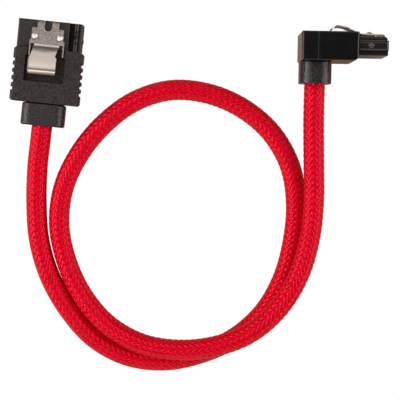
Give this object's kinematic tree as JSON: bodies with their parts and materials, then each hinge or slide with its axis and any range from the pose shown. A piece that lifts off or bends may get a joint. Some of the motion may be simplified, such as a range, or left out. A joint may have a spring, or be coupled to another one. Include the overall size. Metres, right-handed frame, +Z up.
{
  "type": "sata data cable",
  "caption": "Short round braided data cable with a straight latching plug at one end and a right-angle latching plug at the other, lying in a loop and a half.",
  "frame": {"origin": "on the table, under the middle of the box that holds the two plugs", "axes": "+Z up from the table the cable lies on; +X from the straight plug to the right-angle plug; +Y roughly the way the straight plug mates, and the cord loops towards -Y"},
  "size_m": [0.0782, 0.0743, 0.0144],
  "materials": {
    "hard_plastic": "hard black plastic with a soft gloss",
    "grip_plastic": "matte black plastic with a fine grain",
    "boot_plastic": "softer matte black plastic with a fine grain",
    "spring_steel": "bright rolled spring steel",
    "contact_brass": "bright plated brass",
    "red_braid": "tight plait of shiny red yarn"
  },
  "bodies": {
    "cable": {"straight_housing": "hard_plastic", "straight_contact_1": "contact_brass", "straight_contact_2": "contact_brass", "straight_contact_3": "contact_brass", "straight_contact_4": "contact_brass", "straight_contact_5": "contact_brass", "straight_contact_6": "contact_brass", "straight_contact_7": "contact_brass", "angle_housing": "hard_plastic", "angle_contact_1": "contact_brass", "angle_contact_2": "contact_brass", "angle_contact_3": "contact_brass", "angle_contact_4": "contact_brass", "angle_contact_5": "contact_brass", "angle_contact_6": "contact_brass", "angle_contact_7": "contact_brass", "straight_shell": "grip_plastic", "straight_strain_relief": "boot_plastic", "angle_front_shell": "hard_plastic", "angle_rear_cap": "hard_plastic", "angle_strain_relief": "boot_plastic", "braided_cord": "red_braid"},
    "straight_clip": {"straight_latch": "spring_steel"},
    "angle_clip": {"angle_latch": "spring_steel"}
  },
  "joints": [
    {"name": "straight_latch_press", "type": "hinge", "parent": "cable", "child": "straight_clip", "pos_m": [-0.03067, 0.01053, 0.00495], "axis": [0.9949, -0.1011, 0], "range_deg": [0, 3.5], "stiffness_Nm_per_rad": 0.35},
    {"name": "angle_latch_press", "type": "hinge", "parent": "cable", "child": "angle_clip", "pos_m": [0.03876, 0.0069, 0.00676], "axis": [0, 0, 1], "range_deg": [0, 3.5], "stiffness_Nm_per_rad": 0.35}
  ]
}
